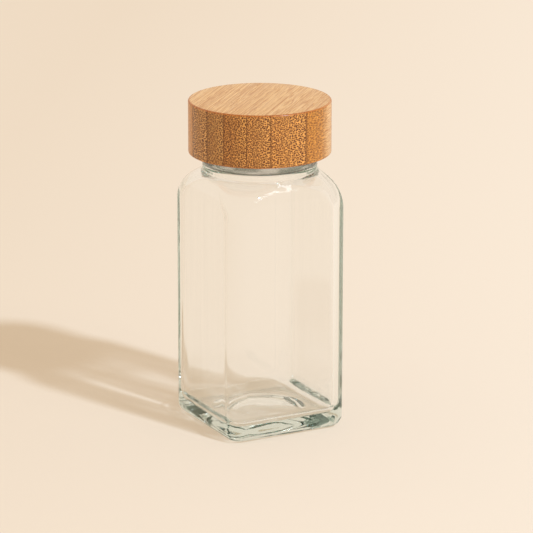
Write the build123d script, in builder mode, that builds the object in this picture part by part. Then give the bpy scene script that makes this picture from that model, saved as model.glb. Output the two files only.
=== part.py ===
from build123d import *
import os
from math import cos, pi, radians, sin, sqrt, tan

os.makedirs("parts", exist_ok=True)

# Square glass spice jar with a turned bamboo screw lid. Millimetres, +Z up, origin in the middle of the
# ring that the jar stands on. The flat faces of the jar look along X and Y.

# Glass, outside. The rim is the jar's height, and the neck and shoulder hang below it.
rim_height = 106.4
body_side = 44.4
corner_radius = 5.6
heel_radius = 4.0
shoulder_drop = 2.3
shoulder_slope = 29.0
shoulder_bend = 11.0
neck_blend = 1.3
standing_ring = 2.7
push_up_rise = 1.5

# Glass, inside
wall = 2.4
floor_thickness = 5.0
cavity_corner_radius = 4.6
cavity_heel_radius = 5.5
floor_crown_margin = 1.3
floor_crown_rise = 1.0

# Neck, from the mouth outwards: the plain wall that carries the thread, the collar and the ring above it
mouth_radius = 15.9
neck_wall = 2.3
neck_height = 12.9
collar_overhang = 1.1
bead_overhang = 1.6
bead_height = 2.8
bead_rounding = 0.7
rim_rounding = 0.8

# Shaker that presses into the mouth
skirt_fit = 0.35
rib_fit = 0.12
rib_height = 1.0
rib_shares = (0.38, 0.74)
skirt_depth = 7.0
skirt_wall = 1.2
skirt_lead_in = 0.5
flange_thickness = 0.8
flange_overhang = 1.7
disc_drop = 1.6
disc_thickness = 1.0
shaker_hole_radius = 1.7
hole_ring_counts = (6, 12)
hole_ring_shares = (0.38, 0.76)

# Seal and screw insert, with room for the thread between neck and insert
seal_thickness = 1.0
seal_fit = 0.3
thread_room = 1.4
insert_wall = 1.2
insert_top = 1.2
insert_recess = 0.6
insert_lead_in = 0.5

# Bamboo shell, turned from a board of seven glued strips
shell_wall = 3.1
lid_top_thickness = 3.0
lid_gap = 0.9
lid_top_rounding = 0.6
lid_foot_rounding = 0.5
glue_gap = 0.1
grain_angle = 46.0
board_spare = 1.0
seam_shares = (-0.79, -0.51, -0.24, 0.095, 0.415, 0.82)

# Where the sections of the shoulder lie, from the start of its bend (0) to the ring (1), with two on the
# straight part that keep it straight, and how round the roundest of them is
section_shares = (-0.2, -0.1, 0.0, 0.1, 0.2, 0.3, 0.4, 0.5, 0.6, 0.7, 0.78, 0.86, 0.93, 1.0)
roundest_share = 0.995

# Heights that follow from the sizes above: down from the rim, then up from it
bead_top = rim_height - neck_height
bead_foot = bead_top - bead_height
cone_top = bead_foot - shoulder_drop
flange_top = rim_height + flange_thickness
seal_top = flange_top + seal_thickness
insert_height = seal_top + insert_top
lid_height = insert_height + lid_top_thickness
lid_foot = bead_top + lid_gap
insert_foot = lid_foot + insert_recess

# Radii that follow, from the mouth outwards to the lid
neck_radius = mouth_radius + neck_wall
collar_radius = neck_radius + collar_overhang
bead_radius = neck_radius + bead_overhang
insert_bore_radius = neck_radius + thread_room
insert_radius = insert_bore_radius + insert_wall
shell_bore_radius = insert_radius + glue_gap
lid_radius = shell_bore_radius + shell_wall

# The cone inside lies one wall below the cone outside and meets the bore of the neck at this height
slope = radians(shoulder_slope)
cavity_cone_top = cone_top - wall / cos(slope) + (collar_radius - mouth_radius) * tan(slope)

# Radii that follow from the body's side: the hollow under the foot and the crown on the floor
push_up_radius = body_side / 2 - heel_radius - standing_ring
floor_crown_radius = body_side / 2 - wall - cavity_heel_radius - floor_crown_margin


def bend_start(reach, neck, top, bend):
    """The height at which a wall this far out begins to bend towards the cone."""
    return top - (reach - neck) * tan(slope) - bend * tan((pi / 2 - slope) / 2)


def drawn_in(reach, height, neck, top, bend):
    """How far out that wall still is higher up: round the bend, up the cone, and blended into the neck."""
    rise = height - bend_start(reach, neck, top, bend)
    if rise <= 0:
        return reach
    if rise < bend * cos(slope):
        spare = reach - bend + sqrt(bend**2 - rise**2) - neck
    else:
        spare = (top - height) / tan(slope)
    blend = min(neck_blend, abs(reach - neck))
    return neck + max(spare, 0) + max(blend - abs(spare), 0) ** 2 / (4 * blend)


def square_bottle(side, radius, floor, heel, neck, top, bend):
    """An upright rounded square whose corners, and higher up its flats, run into the cone and a round neck."""
    half = side / 2
    corner_reach = (half - radius) * sqrt(2) + radius
    start = bend_start(corner_reach, neck, top, bend)
    heights = [start + (bead_foot - start) * share for share in section_shares]
    with BuildPart() as bottle:
        with BuildSketch(Plane.XY.offset(floor)):
            RectangleRounded(side, side, radius)
        extrude(amount=heights[0] - floor)
        fillet(bottle.faces().sort_by(Axis.Z)[0].edges(), heel)
        for height in heights:
            flat = drawn_in(half, height, neck, top, bend)
            corner = drawn_in(corner_reach, height, neck, top, bend)
            rounding = min((flat * sqrt(2) - corner) / (sqrt(2) - 1), flat * roundest_share)
            with BuildSketch(Plane.XY.offset(height)):
                RectangleRounded(2 * flat, 2 * flat, rounding)
        loft()
    return bottle.part


def shallow_cap(radius, rise, foot):
    """A low dome, the shape of the push-up under the jar and of the crown on its floor."""
    sphere_radius = (radius**2 + rise**2) / (2 * rise)
    with BuildPart() as cap:
        with BuildSketch(Plane.XZ):
            with BuildLine():
                bed = Line((0, foot), (radius, foot))
                RadiusArc(bed @ 1, (0, foot + rise), -sphere_radius)
                Line((0, foot + rise), bed @ 0)
            make_face()
        revolve(axis=Axis.Z)
    return cap.part


body = square_bottle(
    body_side,
    corner_radius,
    0,
    heel_radius,
    collar_radius,
    cone_top,
    shoulder_bend,
)
cavity = square_bottle(
    body_side - 2 * wall,
    cavity_corner_radius,
    floor_thickness,
    cavity_heel_radius,
    mouth_radius,
    cavity_cone_top,
    shoulder_bend - wall,
)
push_up = shallow_cap(push_up_radius, push_up_rise, 0)
floor_crown = shallow_cap(floor_crown_radius, floor_crown_rise, floor_thickness)

with BuildPart() as glass_jar:
    add(body)
    with BuildSketch(Plane.XY.offset(bead_foot)):
        Circle(bead_radius)
    extrude(amount=bead_height)
    fillet(glass_jar.edges().filter_by(GeomType.CIRCLE).group_by(Axis.Z)[-1], bead_rounding)
    with BuildSketch(Plane.XY.offset(bead_top)):
        Circle(neck_radius)
    extrude(amount=rim_height - bead_top)
    add(cavity, mode=Mode.SUBTRACT)
    with BuildSketch(Plane.XY.offset(cavity_cone_top)):
        Circle(mouth_radius)
    extrude(amount=rim_height - cavity_cone_top, mode=Mode.SUBTRACT)
    fillet(glass_jar.faces().sort_by(Axis.Z)[-1].edges(), rim_rounding)
    add(floor_crown)
    add(push_up, mode=Mode.SUBTRACT)
glass_jar.part.label = "glass_jar"
export_step(glass_jar.part, "parts/glass_jar.step")

# The shaker: a flange on the rim, a skirt with two snap ribs, and a sunk disc with its holes
skirt_radius = mouth_radius - skirt_fit
skirt_bore = skirt_radius - skirt_wall
rib_radius = mouth_radius - rib_fit
flange_radius = mouth_radius + flange_overhang
skirt_foot = rim_height - skirt_depth
disc_top = flange_top - disc_drop
disc_foot = disc_top - disc_thickness

with BuildPart() as shaker_insert:
    with BuildSketch(Plane.XZ):
        with BuildLine():
            Polyline(
                (0, disc_foot),
                (skirt_bore, disc_foot),
                (skirt_bore, skirt_foot),
                (skirt_radius - skirt_lead_in, skirt_foot),
                (skirt_radius, skirt_foot + skirt_lead_in),
                (skirt_radius, rim_height),
                (flange_radius, rim_height),
                (flange_radius, flange_top),
                (skirt_bore, flange_top),
                (skirt_bore, disc_top),
                (0, disc_top),
                (0, disc_foot),
            )
        make_face()
    revolve(axis=Axis.Z)
    for share in rib_shares:
        rib_middle = skirt_foot + share * skirt_depth
        with BuildSketch(Plane.XZ):
            with BuildLine():
                Polyline(
                    (skirt_bore, rib_middle - rib_height / 2),
                    (skirt_radius, rib_middle - rib_height / 2),
                    (rib_radius, rib_middle),
                    (skirt_radius, rib_middle + rib_height / 2),
                    (skirt_bore, rib_middle + rib_height / 2),
                    (skirt_bore, rib_middle - rib_height / 2),
                )
            make_face()
        revolve(axis=Axis.Z)
    with BuildSketch(Plane.XY.offset(disc_top)):
        Circle(shaker_hole_radius)
        for count, share in zip(hole_ring_counts, hole_ring_shares):
            with PolarLocations(share * skirt_bore, count):
                Circle(shaker_hole_radius)
    extrude(amount=-disc_thickness, mode=Mode.SUBTRACT)
shaker_insert.part.label = "shaker_insert"
export_step(shaker_insert.part, "parts/shaker_insert.step")

# The seal lies loose under the top of the screw insert and closes on the shaker's flange
with BuildPart() as seal_disc:
    with BuildSketch(Plane.XY.offset(flange_top)):
        Circle(insert_bore_radius - seal_fit)
    extrude(amount=seal_thickness)
seal_disc.part.label = "seal_disc"
export_step(seal_disc.part, "parts/seal_disc.step")

# The moulded screw insert, glued into the bamboo
with BuildPart() as thread_insert:
    with BuildSketch(Plane.XY.offset(insert_foot)):
        Circle(insert_radius)
    extrude(amount=insert_height - insert_foot)
    with BuildSketch(Plane.XY.offset(insert_foot)):
        Circle(insert_bore_radius)
    extrude(amount=seal_top - insert_foot, mode=Mode.SUBTRACT)
    bore_mouth = thread_insert.edges().filter_by(GeomType.CIRCLE).group_by(Axis.Z)[0].sort_by(SortBy.RADIUS)[0]
    chamfer(bore_mouth, insert_lead_in)
thread_insert.part.label = "thread_insert"
export_step(thread_insert.part, "parts/thread_insert.step")

# The bamboo shell as turned, before it is told apart into its strips
with BuildPart() as bamboo_shell:
    with BuildSketch(Plane.XY.offset(lid_foot)):
        Circle(lid_radius)
    extrude(amount=lid_height - lid_foot)
    fillet(bamboo_shell.faces().sort_by(Axis.Z)[-1].edges(), lid_top_rounding)
    fillet(bamboo_shell.faces().sort_by(Axis.Z)[0].edges(), lid_foot_rounding)
    with BuildSketch(Plane.XY.offset(lid_foot)):
        Circle(shell_bore_radius)
    extrude(amount=insert_height - lid_foot, mode=Mode.SUBTRACT)

# The board's strips run along the grain and lie side by side across it
board = Plane(origin=(0, 0, lid_foot), x_dir=Vector(1, 0, 0).rotate(Axis.Z, grain_angle - 90), z_dir=(0, 0, 1))
seams = [-lid_radius - board_spare, *(share * lid_radius for share in seam_shares), lid_radius + board_spare]
for number, (near_seam, far_seam) in enumerate(zip(seams, seams[1:]), start=1):
    with BuildPart() as lid_strip:
        add(bamboo_shell.part)
        with BuildSketch(board):
            with Locations(((near_seam + far_seam) / 2, 0)):
                Rectangle(far_seam - near_seam, 2 * (lid_radius + board_spare))
        extrude(amount=lid_height - lid_foot, mode=Mode.INTERSECT)
    lid_strip.part.label = f"lid_strip_{number}"
    export_step(lid_strip.part, f"parts/lid_strip_{number}.step")
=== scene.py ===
import bmesh
import bpy
from math import atan2, copysign, cos, floor, pi, radians, sin, sqrt, tan
from mathutils import Matrix, Vector


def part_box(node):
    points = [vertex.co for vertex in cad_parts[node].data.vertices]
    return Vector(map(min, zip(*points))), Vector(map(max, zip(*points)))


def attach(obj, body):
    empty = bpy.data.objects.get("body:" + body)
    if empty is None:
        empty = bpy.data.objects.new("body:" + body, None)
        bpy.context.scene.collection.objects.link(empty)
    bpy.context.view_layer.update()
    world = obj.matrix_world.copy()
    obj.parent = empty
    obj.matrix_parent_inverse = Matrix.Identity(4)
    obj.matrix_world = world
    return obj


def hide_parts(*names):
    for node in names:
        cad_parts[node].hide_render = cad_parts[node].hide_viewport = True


# Pieces and their grain are given in millimetres, and bump depths, lamps and the camera in metres
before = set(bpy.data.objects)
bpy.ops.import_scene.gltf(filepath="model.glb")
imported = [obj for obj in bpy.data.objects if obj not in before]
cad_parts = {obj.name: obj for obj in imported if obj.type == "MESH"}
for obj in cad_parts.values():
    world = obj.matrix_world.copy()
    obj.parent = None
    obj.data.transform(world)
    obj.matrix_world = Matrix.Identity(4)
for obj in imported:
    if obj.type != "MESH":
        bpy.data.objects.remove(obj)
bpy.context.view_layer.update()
mm = 0.001

# The jar's width and height and the lid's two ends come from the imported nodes
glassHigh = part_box("glass_jar")[1]
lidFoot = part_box("lid_strip_4")[0].z / mm
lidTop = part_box("lid_strip_4")[1].z / mm


# Small helpers for shader trees

def addNode(tree, kind, feeds=None, **options):
    made = tree.nodes.new("ShaderNode" + kind)
    for name, value in options.items():
        setattr(made, name, value)
    for name, value in (feeds or {}).items():
        if isinstance(value, bpy.types.NodeSocket):
            tree.links.new(value, made.inputs[name])
        else:
            made.inputs[name].default_value = value
    return made


def maths(tree, operation, first, second=0.0, third=0.0):
    return addNode(tree, "Math", {0: first, 1: second, 2: third}, operation=operation).outputs[0]


def smoothStep(tree, value, low, high):
    feeds = {"Value": value, "From Min": low, "From Max": high}
    return addNode(tree, "MapRange", feeds, interpolation_type="SMOOTHSTEP").outputs["Result"]


def mixTone(tree, share, first, second, blend="MIX"):
    made = addNode(tree, "Mix", data_type="RGBA", blend_type=blend)
    for index, value in ((0, share), (6, first), (7, second)):
        if isinstance(value, bpy.types.NodeSocket):
            tree.links.new(value, made.inputs[index])
        else:
            made.inputs[index].default_value = value
    return made.outputs[2]


def noise(tree, place, scale, detail=2.0, roughness=0.5):
    feeds = {"Vector": place, "Scale": scale, "Detail": detail, "Roughness": roughness}
    return addNode(tree, "TexNoise", feeds).outputs["Fac"]


def stretch(tree, place, level, upright):
    return addNode(tree, "Mapping", {"Vector": place, "Scale": (level, level, upright)}).outputs[0]


def rgb(red, green, blue):
    def linear(value):
        value /= 255
        return value / 12.92 if value <= 0.04045 else ((value + 0.055) / 1.055) ** 2.4
    return (linear(red), linear(green), linear(blue), 1.0)


def newMaterial(name):
    made = bpy.data.materials.new(name)
    made.use_nodes = True
    tree = made.node_tree
    return made, tree, tree.nodes["Principled BSDF"], tree.nodes["Material Output"]


# Small helpers for meshes

def finishMesh(name, bm, material, sharpAngle=40):
    mesh = bpy.data.meshes.new(name)
    bm.to_mesh(mesh)
    bm.free()
    for face in mesh.polygons:
        face.use_smooth = True
    mesh.set_sharp_from_angle(angle=radians(sharpAngle))
    mesh.materials.append(material)
    made = bpy.data.objects.new(name, mesh)
    bpy.context.scene.collection.objects.link(made)
    return made


def sweepRings(rings, placeVertex, count):
    # A ring is extruded from one ring of the list to the next, and its two ends are drawn to a point
    bm = bmesh.new()
    bmesh.ops.create_circle(bm, cap_ends=False, segments=count, radius=1)
    turn = bm.verts.layers.float.new("turn")
    for vertex in bm.verts:
        vertex[turn] = atan2(vertex.co.y, vertex.co.x) % (2 * pi)
    verts, edges = bm.verts[:], bm.edges[:]
    firstVerts = verts
    for number, ring in enumerate(rings):
        if number:
            made = bmesh.ops.extrude_edge_only(bm, edges=edges)["geom"]
            verts = [part for part in made if isinstance(part, bmesh.types.BMVert)]
            edges = [part for part in made if isinstance(part, bmesh.types.BMEdge) and part.is_boundary]
        for vertex in verts:
            vertex.co = placeVertex(vertex[turn], ring) * mm
    for pole in (firstVerts, verts):
        middle = Vector((0, 0, sum(vertex.co.z for vertex in pole) / len(pole)))
        bmesh.ops.pointmerge(bm, verts=pole, merge_co=middle)
    bmesh.ops.recalc_face_normals(bm, faces=bm.faces[:])
    return bm


# Glass

glass = {
    "segments": 128,
    "domeSteps": 10,
    "roundSteps": 10,
    "innerRoundSteps": 12,
    "wallSteps": 12,
    "shoulderSteps": 40,
    "edgeSteps": 6,
    "threadSteps": 52,
    "flatShare": 0.34,  # share of a quarter ring that lies on a flat face
    "corner": 5.6,
    "heel": 4.0,
    "standingEdge": 0.25,  # from the push-up's edge out to the ring that the jar stands on
    "standingSpare": 0.4,
    "standingCorner": 2.0,
    "straightTop": 75.0,
    "coneTop": 88.4,
    "coneSlope": 29.0,
    "bend": 11.0,
    "neckBlend": 1.3,
    "collar": 19.3,
    "pushUp": 15.5,
    "pushUpRise": 2.3,
    "wall": 2.4,
    "floor": 5.0,
    "innerCorner": 4.3,
    "innerHeel": 4.0,
    "crown": 13.0,
    "crownRise": 1.5,
    "crownEdge": 0.6,
    "crownCorner": 11.0,
    "bead": 19.8,
    "beadFoot": 90.7,
    "beadTop": 93.5,
    "beadRounding": 0.5,
    "beadBelly": 92.7,
    "beadUndercut": 0.55,
    "beadGap": 0.25,  # the shoulder's last ring stays this far under the bead
    "neckFillet": ((0.0, 0.4), (0.1, 0.12)),  # height above the bead, reach past the neck
    "threadGap": 0.4,
    "neck": 18.2,
    "mouth": 15.9,
    "rimRounding": 0.8,
    "leastCorner": 0.8,
    "sharpAngle": 80,
}

thread = {
    "pitch": 25.4 / 6,
    "crestFlat": 1.6,  # above 1, the ridge's crest is flattened
    "start": 96.4,
    "turns": 1.85,
    "proud": 0.9,
    "halfWidth": 1.15,
    "fadeTurns": 0.07,
    "insertProud": 0.9,
    "insertHalfWidth": 0.85,
    "insertTurns": 1.4,
}


def threadRidge(turn, height, start, turns, halfWidth):
    # How far a right-hand ridge stands up at this place, from 0 to 1
    along = (height - start) / thread["pitch"] - turn / (2 * pi)
    whole = floor(along + 0.5)
    offset = (along - whole) * thread["pitch"]
    reach = turn / (2 * pi) + whole
    ends = min(reach, turns - reach) / thread["fadeTurns"]
    if abs(offset) >= halfWidth or ends <= 0:
        return 0.0
    slope = min(1.0, thread["crestFlat"] * cos(offset / halfWidth * pi / 2))
    ends = min(1.0, ends)
    return slope * ends * ends * (3 - 2 * ends)


def roundedSquare(turn, half, radius):
    # The point of a rounded square that belongs to this direction of the ring. A circle has radius = half.
    quarter = floor(turn / (pi / 2) + 0.5)
    aside = turn - quarter * pi / 2
    flatRun = glassHigh.x / mm - glass["corner"]
    flatReach = glass["flatShare"] * pi / 4 * (half - radius) / flatRun
    if abs(aside) < flatReach:
        point = Vector((half, (half - radius) * aside / flatReach))
    else:
        lean = (abs(aside) - flatReach) / (pi / 4 - flatReach) * pi / 4
        point = Vector((half - radius + radius * cos(lean), half - radius + radius * sin(lean)))
        point.y = copysign(point.y, aside)
    point.rotate(Matrix.Rotation(quarter * pi / 2, 2))
    return point


def glassVertex(turn, ring):
    height, half, radius = ring[:3]
    if len(ring) > 3:
        ridge = threadRidge(turn, height, thread["start"], thread["turns"], thread["halfWidth"])
        half = radius = half + thread["proud"] * ridge
    point = roundedSquare(turn, half, radius)
    return Vector((point.x, point.y, height))


def drawnIn(reach, height, neck, top, bend):
    # How far out the shoulder still is: round its bend, up the cone, and blended into the neck
    slope = radians(glass["coneSlope"])
    start = top - (reach - neck) * tan(slope) - bend * tan((pi / 2 - slope) / 2)
    rise = max(height - start, 0)
    if rise < bend * cos(slope):
        spare = reach - bend + sqrt(bend ** 2 - rise ** 2) - neck
    else:
        spare = (top - height) / tan(slope)
    blend = glass["neckBlend"]
    return neck + max(spare, 0) + max(blend - abs(spare), 0) ** 2 / (4 * blend)


def shoulderRing(height, half, corner, neck, top, bend):
    flat = drawnIn(half, height, neck, top, bend)
    reach = drawnIn((half - corner) * sqrt(2) + corner, height, neck, top, bend)
    return (height, flat, min((flat * sqrt(2) - reach) / (sqrt(2) - 1), flat))


def steps(count):
    return [number / count for number in range(count + 1)]


def capRings(radius, rise, foot, count):
    # A low dome from its middle to its edge
    sphere = (radius ** 2 + rise ** 2) / (2 * rise)
    rings = []
    for share in steps(count):
        reach = share * radius
        rings.append((foot + rise - sphere + sqrt(sphere ** 2 - reach ** 2), reach, reach))
    return rings


def glassRings():
    g = glass
    half = glassHigh.x / mm
    inner = half - g["wall"]
    rim = glassHigh.z / mm
    slope = radians(g["coneSlope"])
    innerTop = g["coneTop"] - g["wall"] / cos(slope) + (g["collar"] - g["mouth"]) * tan(slope)
    rings = capRings(g["pushUp"], g["pushUpRise"], 0, g["domeSteps"])
    edge = g["pushUp"] + g["standingEdge"]
    rings.append((0, edge, edge))
    rings.append((0, half - g["heel"] - g["standingSpare"], g["corner"] - g["heel"] + g["standingCorner"]))
    for share in steps(g["roundSteps"]):
        inset = g["heel"] * (1 - sin(share * pi / 2))
        rise = g["heel"] * (1 - cos(share * pi / 2))
        rings.append((rise, half - inset, g["corner"] - inset))
    straightTop = g["straightTop"]
    for share in steps(g["wallSteps"])[1:-1]:
        rings.append((g["heel"] + (straightTop - g["heel"]) * share, half, g["corner"]))
    for share in steps(g["shoulderSteps"]):
        height = straightTop + (g["beadFoot"] - g["beadGap"] - straightTop) * share
        rings.append(shoulderRing(height, half, g["corner"], g["collar"], g["coneTop"], g["bend"]))
    throat = g["collar"] - g["beadUndercut"]
    for share in steps(g["roundSteps"]):
        # the bead bulges out over a narrower throat
        swell = throat + (g["bead"] - throat) * sin(share * pi / 2)
        rings.append((g["beadBelly"] - (g["beadBelly"] - g["beadFoot"]) * cos(share * pi / 2), swell, swell))
    for share in steps(g["edgeSteps"]):
        edge = g["bead"] - g["beadRounding"] * (1 - cos(share * pi / 2))
        rings.append((g["beadTop"] - g["beadRounding"] * (1 - sin(share * pi / 2)), edge, edge))
    for above, aside in g["neckFillet"]:
        rings.append((g["beadTop"] + above, g["neck"] + aside, g["neck"] + aside))
    threadFoot, threadTop = g["beadTop"] + g["threadGap"], rim - g["rimRounding"]
    for share in steps(g["threadSteps"]):
        rings.append((threadFoot + (threadTop - threadFoot) * share, g["neck"], g["neck"], "threaded"))
    for share in steps(g["edgeSteps"])[1:]:
        edge = g["neck"] - g["rimRounding"] * (1 - cos(share * pi / 2))
        rings.append((threadTop + g["rimRounding"] * sin(share * pi / 2), edge, edge))
    for share in steps(g["edgeSteps"]):
        edge = g["mouth"] + g["rimRounding"] * (1 - sin(share * pi / 2))
        rings.append((threadTop + g["rimRounding"] * cos(share * pi / 2), edge, edge))
    for share in steps(g["edgeSteps"])[1:-1]:
        rings.append((threadTop + (g["beadFoot"] - threadTop) * share, g["mouth"], g["mouth"]))
    innerBend = g["bend"] - g["wall"]
    for share in steps(g["shoulderSteps"]):
        height = g["beadFoot"] + (straightTop - g["beadFoot"]) * share
        rings.append(shoulderRing(height, inner, g["innerCorner"], g["mouth"], innerTop, innerBend))
    heelTop = g["floor"] + g["innerHeel"]
    for share in steps(g["wallSteps"])[1:]:
        rings.append((straightTop + (heelTop - straightTop) * share, inner, g["innerCorner"]))
    for share in steps(g["innerRoundSteps"])[1:]:
        inset = g["innerHeel"] * (1 - cos(share * pi / 2))
        drop = g["innerHeel"] * sin(share * pi / 2)
        rings.append((heelTop - drop, inner - inset, max(g["innerCorner"] - inset, g["leastCorner"])))
    rings.append((g["floor"], g["crown"] + g["crownEdge"], g["crownCorner"]))
    return rings + capRings(g["crown"], g["crownRise"], g["floor"], g["domeSteps"])[::-1]


glassLook = {
    "ior": 1.5,
    "tint": (0.83, 0.89, 0.872, 1.0),
    "tintDensity": 38.0,
    "beadToneAndShade": (0.085, 0.105, 0.09, 1.0),  # the thick bead seen edge on, mostly painted shade from the lid that overhangs it
    "ringInner": (-0.6, 0.2),  # where its tone sets in, past the neck and round the bead
    "ringFoot": (-0.1, 0.3),
    "ringTop": (1.4, 0.2),
    "ringGrain": 110.0,
    "ringFlatten": 4.0,
    "ringBand": (0.35, 0.7),
    "ringFade": 0.35,
    "lampThrough": 0.99,  # what each face lets through of a lamp met square
    "lampEdge": 0.45,  # and of one that grazes it
    "edgeStart": 0.25,
    "lampShoulder": 0.62,
    "skyThrough": 0.975,
    "streakGrain": 170.0,
    "streakStretch": 0.08,
    "streakBand": (0.46, 0.58),
    "streakDepth": 0.55,
    "streakLift": 1.1,
    "layerGrain": 480.0,
    "layerStretch": 0.12,
    "layerBand": (0.40, 0.60),
    "footDepth": 0.6,
    "footTop": 12.0,
    "footFade": 0.6,
    "crestFoot": 75.0,
    "crestTop": 82.0,
    "wave": 0.00011,
    "waveGrain": 120.0,
    "waveStretch": 0.07,
}


def glassMaterial():
    look = glassLook
    made, tree, shader, output = newMaterial("clear soda glass")
    place = addNode(tree, "TexCoord").outputs["Object"]
    # the waves of the glass run up its walls
    wave = noise(tree, stretch(tree, place, 1.0, look["waveStretch"]), look["waveGrain"])
    bump = addNode(tree, "Bump", {"Height": wave, "Distance": look["wave"], "Strength": 1.0}).outputs[0]
    tree.links.new(bump, shader.inputs["Normal"])
    shader.inputs["Roughness"].default_value = 0.0
    shader.inputs["IOR"].default_value = look["ior"]
    shader.inputs["Transmission Weight"].default_value = 1.0
    axes = addNode(tree, "SeparateXYZ", {0: place}).outputs
    height = axes["Z"]
    flat = addNode(tree, "CombineXYZ", {0: axes["X"], 1: axes["Y"]}).outputs[0]
    reach = addNode(tree, "VectorMath", {0: flat}, operation="LENGTH").outputs["Value"]
    # the bead is thick and seen edge on, and its band is darkened with painted shade where the lid overhangs
    # it
    outside = smoothStep(tree, reach, *[(glass["neck"] + aside) * mm for aside in look["ringInner"]])
    above = smoothStep(tree, height, *[(glass["beadFoot"] + aside) * mm for aside in look["ringFoot"]])
    below = smoothStep(tree, height, *[(glass["beadTop"] + aside) * mm for aside in look["ringTop"]])
    streaks = noise(tree, stretch(tree, place, 1.0, look["ringFlatten"]), look["ringGrain"])
    streaks = smoothStep(tree, streaks, *look["ringBand"])
    band = maths(tree, "MULTIPLY", maths(tree, "MULTIPLY", outside, above), below)
    band = maths(tree, "MULTIPLY", band, maths(tree, "MULTIPLY_ADD", streaks, -look["ringFade"], 1.0))
    tree.links.new(mixTone(tree, band, (1, 1, 1, 1), look["beadToneAndShade"]), shader.inputs["Base Color"])
    # lamps reach through the wall, less at its edges and round the shoulder, whose bend spreads the light
    facing = addNode(tree, "LayerWeight", {"Blend": 0.5}).outputs["Facing"]
    edgeWay = smoothStep(tree, facing, look["edgeStart"], 1.0)
    feeds = {"Value": edgeWay, "To Min": look["lampThrough"], "To Max": look["lampEdge"]}
    through = addNode(tree, "MapRange", feeds).outputs["Result"]
    crest = smoothStep(tree, height, look["crestFoot"] * mm, look["crestTop"] * mm)
    crest = maths(tree, "MULTIPLY_ADD", crest, look["lampShoulder"] - 1, 1.0)
    through = maths(tree, "MULTIPLY", through, crest)
    # the walls and the thick foot gather the light into streaks
    streak = noise(tree, stretch(tree, place, 1.0, look["streakStretch"]), look["streakGrain"])
    streak = smoothStep(tree, streak, *look["streakBand"])
    streak = maths(tree, "MULTIPLY_ADD", streak, -look["streakDepth"], look["streakLift"])
    through = maths(tree, "MULTIPLY", through, streak)
    layer = noise(tree, stretch(tree, place, look["layerStretch"], 1.0), look["layerGrain"], detail=1.0)
    layer = smoothStep(tree, layer, *look["layerBand"])
    low = smoothStep(tree, height, look["footTop"] * mm, look["footTop"] * look["footFade"] * mm)
    layer = maths(tree, "MULTIPLY_ADD", maths(tree, "MULTIPLY", layer, low), -look["footDepth"], 1.0)
    through = maths(tree, "MULTIPLY", through, layer)
    lampWay = addNode(tree, "BsdfTransparent", {"Color": maths(tree, "MINIMUM", through, 1.0)}).outputs[0]
    path = addNode(tree, "LightPath").outputs
    feeds = {0: path["Is Shadow Ray"], 1: shader.outputs[0], 2: lampWay}
    first = addNode(tree, "MixShader", feeds).outputs[0]
    skyWay = addNode(tree, "BsdfTransparent", {"Color": (look["skyThrough"],) * 3 + (1.0,)}).outputs[0]
    feeds = {0: path["Is Diffuse Ray"], 1: first, 2: skyWay}
    second = addNode(tree, "MixShader", feeds).outputs[0]
    tree.links.new(second, output.inputs["Surface"])
    absorb = addNode(tree, "VolumeAbsorption", {"Color": look["tint"], "Density": look["tintDensity"]})
    tree.links.new(absorb.outputs[0], output.inputs["Volume"])
    return made


jarMesh = sweepRings(glassRings(), glassVertex, glass["segments"])
jar = finishMesh("jar_glass", jarMesh, glassMaterial(), glass["sharpAngle"])
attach(jar, "jar")
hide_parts("glass_jar")
print("glass jar made")


# Moulded pieces in the lid and the mouth

moulded = {
    "cloudScale": 90.0,
    "cloudShade": 0.93,
    "smoother": 0.06,
    "rougher": 0.08,
    "grainStrength": 0.5,
    "milkyReach": 0.0015,
}


def mouldedMaterial(name, tone, roughness, grainScale, grainDepth, milky=0.0):
    made, tree, shader, _ = newMaterial(name)
    place = addNode(tree, "TexCoord").outputs["Object"]
    cloud = noise(tree, place, moulded["cloudScale"], detail=3.0)
    shade = tuple(part * moulded["cloudShade"] for part in tone[:3]) + (1.0,)
    tree.links.new(mixTone(tree, cloud, shade, tone), shader.inputs["Base Color"])
    grain = noise(tree, place, grainScale)
    smooth, rough = roughness - moulded["smoother"], roughness + moulded["rougher"]
    spread = addNode(tree, "MapRange", {"Value": grain, "To Min": smooth, "To Max": rough})
    tree.links.new(spread.outputs["Result"], shader.inputs["Roughness"])
    feeds = {"Height": grain, "Distance": grainDepth, "Strength": moulded["grainStrength"]}
    tree.links.new(addNode(tree, "Bump", feeds).outputs[0], shader.inputs["Normal"])
    shader.inputs["Subsurface Weight"].default_value = milky
    shader.inputs["Subsurface Scale"].default_value = moulded["milkyReach"]
    return made


insert = {
    "segments": 112,
    "wallSteps": 10,
    "threadSteps": 56,
    "inner": 19.6,
    "top": 1.2,
    "topRounding": 0.4,
    "footChamfer": 0.2,
    "leadIn": 0.5,
    "threadGap": 0.1,
    "threadTopGap": 0.3,
    "ceilingFillet": 0.08,
    "ceilingEdge": 0.3,
    "sharpAngle": 50,
}
insertLow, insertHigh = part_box("thread_insert")


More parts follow.
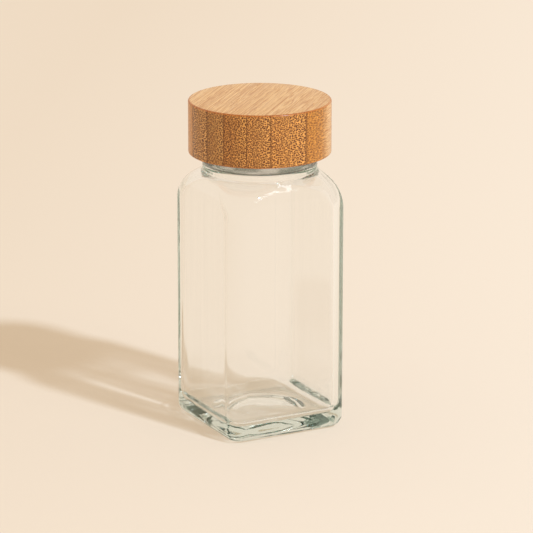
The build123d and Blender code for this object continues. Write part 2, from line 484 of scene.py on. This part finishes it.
def insertRings():
    foot, top = insertLow.z / mm, insertHigh.z / mm
    outer, inner = insertHigh.x / mm, insert["inner"]
    ceiling = top - insert["top"]
    rounding, chamfer, leadIn = insert["topRounding"], insert["footChamfer"], insert["leadIn"]
    between = rounding * 0.3  # a rounding's middle lies this far from both of its sides
    rings = [(top, 0.0), (top, outer * 0.5), (top, outer - rounding)]
    rings += [(top - between, outer - between), (top - rounding, outer)]
    wallTop, wallFoot = top - rounding, foot + chamfer
    rings += [(wallTop + (wallFoot - wallTop) * share, outer) for share in steps(insert["wallSteps"])[1:]]
    rings += [(foot, outer - chamfer), (foot, inner + leadIn), (foot + leadIn, inner)]
    boreFoot, boreTop = foot + leadIn + insert["threadGap"], ceiling - insert["threadTopGap"]
    for share in steps(insert["threadSteps"]):
        rings.append((boreFoot + (boreTop - boreFoot) * share, inner, "threaded"))
    fillet = insert["ceilingFillet"]
    rings += [(ceiling - fillet, inner - fillet), (ceiling, inner - insert["ceilingEdge"])]
    return rings + [(ceiling, inner * 0.5), (ceiling, 0.0)]


def insertVertex(turn, ring):
    height, radius = ring[:2]
    if len(ring) > 2:
        start = thread["start"] + thread["pitch"] / 2
        ridge = threadRidge(turn, height, start, thread["insertTurns"], thread["insertHalfWidth"])
        radius -= thread["insertProud"] * ridge
    return Vector((radius * cos(turn), radius * sin(turn), height))


insertLook = mouldedMaterial("white moulded insert", rgb(238, 236, 230), roughness=0.4,
                             grainScale=2500.0, grainDepth=0.00002, milky=0.15)
insertMesh = sweepRings(insertRings(), insertVertex, insert["segments"])
screwInsert = finishMesh("screw_insert", insertMesh, insertLook, insert["sharpAngle"])
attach(screwInsert, "lid")
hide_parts("thread_insert")

carried = {
    "shaker_insert": mouldedMaterial("milky shaker plastic", rgb(236, 238, 236), roughness=0.36,
                                     grainScale=2200.0, grainDepth=0.00002, milky=0.3),
    "seal_disc": mouldedMaterial("soft seal foam", rgb(240, 239, 233), roughness=0.8,
                                 grainScale=3800.0, grainDepth=0.00006),
}
for nodeName, material in carried.items():
    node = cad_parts[nodeName]
    node.data.materials.clear()
    node.data.materials.append(material)
print("moulded pieces made")


# Bamboo lid: one turned shell, cut at its glue seams

lid = {
    "segments": 208,
    "topSteps": 7,
    "footSteps": 4,
    "radius": 24.0,
    "topRounding": 0.6,
    "footRounding": 0.5,
    "bore": 20.9,
    "topThickness": 3.0,
    "grainAngle": 46.0,
    "seamShares": (-0.79, -0.51, -0.24, 0.095, 0.415, 0.82),
    "seamBevel": 0.07,
    "weld": 0.001,
    "cutSnap": 0.0001,
    "sharpAngle": 32,
    "seamSpare": 1.0,
}


def turnedShell():
    low, high = lidFoot, lidTop
    outer, bore = lid["radius"], lid["bore"]
    ceiling = high - lid["topThickness"]
    profile = [(0.0, high), (outer * 0.5, high)]
    for share in steps(lid["topSteps"]):
        lean, rounding = (1 - share) * pi / 2, lid["topRounding"]
        profile.append((outer - rounding * (1 - cos(lean)), high - rounding * (1 - sin(lean))))
    for share in steps(lid["footSteps"]):
        lean, rounding = share * pi / 2, lid["footRounding"]
        profile.append((outer - rounding * (1 - cos(lean)), low + rounding * (1 - sin(lean))))
    profile += [(bore, low), (bore, ceiling), (0.0, ceiling)]
    bm = bmesh.new()
    corners = [bm.verts.new((radius * mm, 0, height * mm)) for radius, height in profile]
    sides = [bm.edges.new(pair) for pair in zip(corners, corners[1:])]
    bmesh.ops.spin(bm, geom=corners + sides, cent=(0, 0, 0), axis=(0, 0, 1), angle=2 * pi,
                   steps=lid["segments"], use_merge=True, use_duplicate=False)
    bmesh.ops.remove_doubles(bm, verts=bm.verts[:], dist=lid["weld"] * mm)
    bmesh.ops.recalc_face_normals(bm, faces=bm.faces[:])
    return bm


def cutShell(bm, across, distance, keepFar):
    # Cuts the shell at one seam, closes the cut and takes a hair off its edges
    everything = bm.verts[:] + bm.edges[:] + bm.faces[:]
    cut = bmesh.ops.bisect_plane(bm, geom=everything, dist=lid["cutSnap"] * mm,
                                 plane_co=across * distance * mm, plane_no=across,
                                 clear_inner=keepFar, clear_outer=not keepFar)["geom_cut"]
    edges = [part for part in cut if isinstance(part, bmesh.types.BMEdge)]
    bmesh.ops.triangle_fill(bm, use_beauty=True, edges=edges)
    bmesh.ops.recalc_face_normals(bm, faces=bm.faces[:])
    edges = [edge for edge in edges if edge.is_valid]
    bmesh.ops.bevel(bm, geom=edges, offset=lid["seamBevel"] * mm, offset_type="OFFSET", segments=1,
                    profile=0.5, affect="EDGES", material=-1)


bamboo = {
    # the fibres wander a little on their way along the strip
    "wander": 1.6,
    "wanderAcross": 0.2,
    "wanderAlong": 0.05,
    "wanderStep": 7.3,
    # end grain: dark bundles in a paler ground, and bright flecks that are painted glints
    "fineDot": 0.50,
    "wideDot": 0.55,
    "dotSpread": 0.8,
    "dotEdge": (0.28, 0.46),
    "dotShade": (0.15, 0.072, 0.025, 1.0),
    "blotchScale": 0.45,
    "blotchShare": (0.5, -0.1),
    "fleckScale": 1.7,
    "fleckBand": (0.5, 0.68),
    "paintedGlint": (1.45, 1.46, 1.55, 1.0),
    # long grain: pale, with the bundles as fine streaks
    "topPale": rgb(243, 194, 128),
    "topStreak": rgb(188, 118, 48),
    "streakAcross": 3.6,
    "streakAlong": 0.012,
    "streakStep": 5.7,
    "streakBand": (0.38, 0.64),
    "streakDots": 0.12,
    "endWay": (0.02, 0.28),
    # the seams, and the warm line round the turned edges, which at the foot is painted bounce light
    "seamTone": rgb(104, 58, 18),
    "seamBand": (0.08, 0.75),
    "seamShare": (0.62, 0.06),
    # rimTone also tints the blotches; along the foot its line is painted bounce light
    "rimTone": rgb(184, 98, 26),
    "rimShare": 0.7,
    "rimReach": (-0.8, -0.3),
    "rimTop": (-0.65, -0.2),
    "rimFoot": (0.15, 0.5),
    "roughness": 0.46,
    "dotRoughness": 0.14,
    "specular": 0.25,
    "coat": 0.55,
    "coatRoughness": 0.2,
    "relief": 0.00005,
    "reliefStrength": 0.6,
    "reliefShare": (-0.85, -0.15),
    # the end grain of each strip: its ground at its near and far side, and how strong its dots are
    "strips": (
        (rgb(196, 132, 50), rgb(202, 136, 54), 0.25),
        (rgb(202, 146, 76), rgb(220, 164, 94), 1.15),
        (rgb(190, 136, 68), rgb(208, 152, 82), 1.00),
        (rgb(192, 128, 56), rgb(216, 152, 74), 1.25),
        (rgb(208, 142, 66), rgb(226, 160, 80), 1.25),
        (rgb(224, 154, 72), rgb(230, 162, 80), 1.20),
        (rgb(212, 140, 52), rgb(208, 140, 54), 0.70),
    ),
}


def bambooMaterial(number, near, far):
    look = bamboo
    nearTone, farTone, dotStrength = look["strips"][number - 1]
    made, tree, shader, _ = newMaterial(f"bamboo strip {number}")
    coordinates = addNode(tree, "TexCoord").outputs
    turned = (0, 0, radians(90 - lid["grainAngle"]))
    feeds = {"Vector": coordinates["Object"], "Rotation": turned, "Scale": (1 / mm,) * 3}
    place = addNode(tree, "Mapping", feeds).outputs[0]
    axes = addNode(tree, "SeparateXYZ", {0: place}).outputs
    across, along, height = axes["X"], axes["Y"], axes["Z"]

    def scaled(crossScale, alongScale, shift, crossed=across, upright=height):
        feeds = {0: maths(tree, "MULTIPLY", crossed, crossScale),
                 1: maths(tree, "MULTIPLY_ADD", along, alongScale, shift),
                 2: maths(tree, "MULTIPLY", upright, crossScale)}
        return addNode(tree, "CombineXYZ", feeds).outputs[0]

    slow = scaled(look["wanderAcross"], look["wanderAlong"], number * look["wanderStep"])
    wander = maths(tree, "SUBTRACT", noise(tree, slow, 1.0), 0.5)
    wander = maths(tree, "MULTIPLY", wander, look["wander"])
    acrossBent = maths(tree, "ADD", across, wander)
    heightBent = maths(tree, "SUBTRACT", height, wander)

    def dots(size):
        feeds = {0: maths(tree, "DIVIDE", acrossBent, size), 1: maths(tree, "DIVIDE", heightBent, size)}
        spot = addNode(tree, "CombineXYZ", feeds).outputs[0]
        feeds = {"Vector": spot, "Scale": 1.0, "Randomness": look["dotSpread"]}
        cell = addNode(tree, "TexVoronoi", feeds, voronoi_dimensions="2D").outputs["Distance"]
        return maths(tree, "SUBTRACT", 1.0, smoothStep(tree, cell, *look["dotEdge"]))

    share = addNode(tree, "MapRange", {"Value": across, "From Min": near, "From Max": far}).outputs["Result"]
    spread = smoothStep(tree, share, 0.0, 1.0)
    feeds = {0: spread, 2: dots(look["fineDot"]), 3: dots(look["wideDot"])}
    bundle = addNode(tree, "Mix", feeds).outputs[0]
    # end grain
    ground = mixTone(tree, share, nearTone, farTone)
    blotch = noise(tree, place, look["blotchScale"], detail=3.0)
    blotch = maths(tree, "MULTIPLY_ADD", blotch, *look["blotchShare"])
    ground = mixTone(tree, blotch, ground, look["rimTone"])
    fleck = noise(tree, place, look["fleckScale"])
    dark = mixTone(tree, 1.0, ground, look["dotShade"], "MULTIPLY")
    # painted glints: the ground is brightened in flecks
    bright = mixTone(tree, 1.0, ground, look["paintedGlint"], "MULTIPLY")
    ground = mixTone(tree, smoothStep(tree, fleck, *look["fleckBand"]), ground, bright)
    strength = maths(tree, "MULTIPLY", bundle, dotStrength)
    endTone = mixTone(tree, maths(tree, "MINIMUM", strength, 1.0), ground, dark)
    # long grain
    shift = number * look["streakStep"]
    thin = scaled(look["streakAcross"], look["streakAlong"], shift, acrossBent, heightBent)
    streak = noise(tree, thin, 1.0, detail=3.0, roughness=0.6)
    streak = smoothStep(tree, streak, *look["streakBand"])
    streak = addNode(tree, "Mix", {0: look["streakDots"], 2: streak, 3: bundle}).outputs[0]
    longTone = mixTone(tree, streak, look["topPale"], look["topStreak"])
    # which of the two shows follows the way the surface was cut
    grainWay = (cos(radians(lid["grainAngle"])), sin(radians(lid["grainAngle"])), 0)
    cutWay = addNode(tree, "VectorMath", {0: coordinates["Normal"], 1: grainWay}, operation="DOT_PRODUCT")
    endShare = smoothStep(tree, maths(tree, "ABSOLUTE", cutWay.outputs["Value"]), *look["endWay"])
    tone = mixTone(tree, endShare, longTone, endTone)
    # a dark line at the strip's near seam, stronger in the end grain
    away = maths(tree, "ABSOLUTE", maths(tree, "SUBTRACT", across, near))
    seam = maths(tree, "SUBTRACT", 1.0, smoothStep(tree, away, *look["seamBand"]))
    seam = maths(tree, "MULTIPLY", seam, maths(tree, "MULTIPLY_ADD", endShare, *look["seamShare"]))
    tone = mixTone(tree, seam, tone, look["seamTone"])
    # a warm line round the turned edges: at the top a darker edge line, at the foot painted bounce light
    # from the floor
    flat = addNode(tree, "CombineXYZ", {0: across, 1: along}).outputs[0]
    reach = addNode(tree, "VectorMath", {0: flat}, operation="LENGTH").outputs["Value"]
    ragged = maths(tree, "ADD", reach, maths(tree, "SUBTRACT", fleck, 0.5))
    edge = smoothStep(tree, ragged, *[lid["radius"] + aside for aside in look["rimReach"]])
    upper = smoothStep(tree, height, *[lidTop + aside for aside in look["rimTop"]])
    footBounce = smoothStep(tree, height, *[lidFoot + aside for aside in look["rimFoot"]])
    footBounce = maths(tree, "SUBTRACT", 1.0, footBounce)
    rimLine = maths(tree, "MULTIPLY", edge, maths(tree, "MAXIMUM", upper, footBounce))
    tone = mixTone(tree, maths(tree, "MULTIPLY", rimLine, look["rimShare"]), tone, look["rimTone"])
    tree.links.new(tone, shader.inputs["Base Color"])
    rough = look["roughness"] + look["dotRoughness"]
    feeds = {"Value": bundle, "To Min": look["roughness"], "To Max": rough}
    tree.links.new(addNode(tree, "MapRange", feeds).outputs["Result"], shader.inputs["Roughness"])
    relief = maths(tree, "MULTIPLY", bundle, maths(tree, "MULTIPLY_ADD", endShare, *look["reliefShare"]))
    feeds = {"Height": relief, "Distance": look["relief"], "Strength": look["reliefStrength"]}
    tree.links.new(addNode(tree, "Bump", feeds).outputs[0], shader.inputs["Normal"])
    shader.inputs["Specular IOR Level"].default_value = look["specular"]
    shader.inputs["Coat Weight"].default_value = look["coat"]
    shader.inputs["Coat Roughness"].default_value = look["coatRoughness"]
    return made


shell = turnedShell()
acrossWay = Matrix.Rotation(radians(lid["grainAngle"] - 90), 3, "Z") @ Vector((1, 0, 0))
spare = lid["radius"] + lid["seamSpare"]
seams = [-spare] + [share * lid["radius"] for share in lid["seamShares"]] + [spare]
for number, (near, far) in enumerate(zip(seams, seams[1:]), start=1):
    bm = shell.copy()
    if near > -spare:
        cutShell(bm, acrossWay, near, True)
    if far < spare:
        cutShell(bm, acrossWay, far, False)
    strip = finishMesh(f"bamboo_strip_{number}", bm, bambooMaterial(number, near, far), lid["sharpAngle"])
    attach(strip, "lid")
    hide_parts(f"lid_strip_{number}")
shell.free()
print("bamboo lid made")


# Floor, light and camera

view = {
    "azimuth": -27.69,
    "elevation": 16.34,
    "distance": 1.1,
    "aimHeight": 0.054,
    "focal": 3248.0,  # in pixels of the photo
    "frame": 533.0,
    "aimPixel": (259.82, 266.8),
    "sensor": 36.0,
    "clipEnd": 50.0,
}

studio = {
    # the floor's tone between these two is a painted falloff of light
    "floorPaintedShade": rgb(238, 219, 196),
    "floorPaintedLight": rgb(251, 236, 218),
    "paleMiddle": 0.5,
    "paleRight": 3.0,
    "paleNear": 0.4,
    "floorSize": 9.0,
    "floorDrop": 0.05,
    "toothGrain": 900.0,
    "toothDepth": 0.00002,
    "toothStrength": 0.3,
    "fill": (0.760, 0.684, 0.580, 1.0),
    "backdrop": rgb(246, 230, 211),
    "keyTone": (0.594, 0.764, 1.0),
    "keyPower": 1.95,
    "keyAngle": 4.0,
    "keyBearing": -70.3,
    "keyHeight": 41.0,
    "stripTone": (0.80, 0.90, 1.0),
    "stripPower": 2.0,
    "stripSize": (0.70, 0.16),
    "stripReach": 2.0,
    "stripBearing": -68.0,
    "stripHeight": 39.0,
    "bounces": 40,
}


def makeFloor():
    bm = bmesh.new()
    bmesh.ops.create_grid(bm, x_segments=1, y_segments=1, size=studio["floorSize"] / 2)
    made, tree, shader, _ = newMaterial("pale paper floor")
    place = addNode(tree, "TexCoord").outputs["Object"]
    tooth = noise(tree, place, studio["toothGrain"])
    feeds = {"Height": tooth, "Distance": studio["toothDepth"], "Strength": studio["toothStrength"]}
    tree.links.new(addNode(tree, "Bump", feeds).outputs[0], shader.inputs["Normal"])
    # painted light falloff: paler towards the picture's right and its foreground
    azimuth = radians(view["azimuth"])
    right, away = (cos(azimuth), sin(azimuth), 0), (-sin(azimuth), cos(azimuth), 0)
    sideways = addNode(tree, "VectorMath", {0: place, 1: right}, operation="DOT_PRODUCT").outputs["Value"]
    deep = addNode(tree, "VectorMath", {0: place, 1: away}, operation="DOT_PRODUCT").outputs["Value"]
    pale = maths(tree, "MULTIPLY_ADD", sideways, studio["paleRight"], studio["paleMiddle"])
    pale = maths(tree, "MULTIPLY_ADD", deep, -studio["paleNear"], pale)
    pale = addNode(tree, "Clamp", {0: pale}).outputs[0]
    tone = mixTone(tree, pale, studio["floorPaintedShade"], studio["floorPaintedLight"])
    tree.links.new(tone, shader.inputs["Base Color"])
    shader.inputs["Roughness"].default_value = 1.0
    shader.inputs["Specular IOR Level"].default_value = 0.0
    bmesh.ops.translate(bm, verts=bm.verts[:], vec=(0, 0, -studio["floorDrop"] * mm))
    finishMesh("floor", bm, made)


def makeWorld():
    world = bpy.data.worlds.new("studio")
    world.use_nodes = True
    tree = world.node_tree
    tree.nodes.clear()
    # what is seen, mirrored or looked at through the glass is the backdrop, and the rest is fill light
    path = addNode(tree, "LightPath").outputs
    seen = maths(tree, "MAXIMUM", path["Is Glossy Ray"], path["Is Transmission Ray"])
    seen = maths(tree, "MAXIMUM", path["Is Camera Ray"], seen)
    tone = mixTone(tree, seen, studio["fill"], studio["backdrop"])
    back = addNode(tree, "Background", {"Color": tone, "Strength": 1.0})
    output = addNode(tree, "OutputWorld")
    tree.links.new(back.outputs[0], output.inputs[0])
    bpy.context.scene.world = world


def hangLamp(lamp, bearing, height, away):
    bearing, height = radians(bearing), radians(height)
    way = Vector((cos(height) * cos(bearing), cos(height) * sin(bearing), sin(height)))
    made = bpy.data.objects.new(lamp.name, lamp)
    made.location = Vector((0, 0, view["aimHeight"])) + way * away
    made.rotation_euler = way.to_track_quat("Z", "Y").to_euler()
    made.visible_camera = False
    bpy.context.scene.collection.objects.link(made)


def makeLamps():
    key = bpy.data.lights.new("key", "SUN")
    key.angle = radians(studio["keyAngle"])
    key.energy = studio["keyPower"]
    key.color = studio["keyTone"]
    hangLamp(key, studio["keyBearing"], studio["keyHeight"], 1.0)
    strip = bpy.data.lights.new("strip", "AREA")
    strip.shape = "RECTANGLE"
    strip.size, strip.size_y = studio["stripSize"]
    strip.energy = studio["stripPower"]
    strip.color = studio["stripTone"]
    hangLamp(strip, studio["stripBearing"], studio["stripHeight"], studio["stripReach"])


def makeCamera():
    azimuth, elevation = radians(view["azimuth"]), radians(view["elevation"])
    back = Vector((sin(azimuth) * cos(elevation), -cos(azimuth) * cos(elevation), sin(elevation)))
    lens = bpy.data.cameras.new("camera")
    lens.sensor_width = view["sensor"]
    lens.lens = view["focal"] / view["frame"] * view["sensor"]
    lens.shift_x = (view["frame"] / 2 - view["aimPixel"][0]) / view["frame"]
    lens.shift_y = (view["aimPixel"][1] - view["frame"] / 2) / view["frame"]
    lens.clip_end = view["clipEnd"]
    camera = bpy.data.objects.new("camera", lens)
    camera.location = Vector((0, 0, view["aimHeight"])) + back * view["distance"]
    camera.rotation_euler = back.to_track_quat("Z", "Y").to_euler()
    bpy.context.scene.collection.objects.link(camera)
    bpy.context.scene.camera = camera


makeFloor()
makeWorld()
makeLamps()
makeCamera()
cycles = bpy.context.scene.cycles
cycles.max_bounces = cycles.transmission_bounces = cycles.glossy_bounces = studio["bounces"]
bpy.context.scene.view_settings.view_transform = "Standard"
print("studio made")
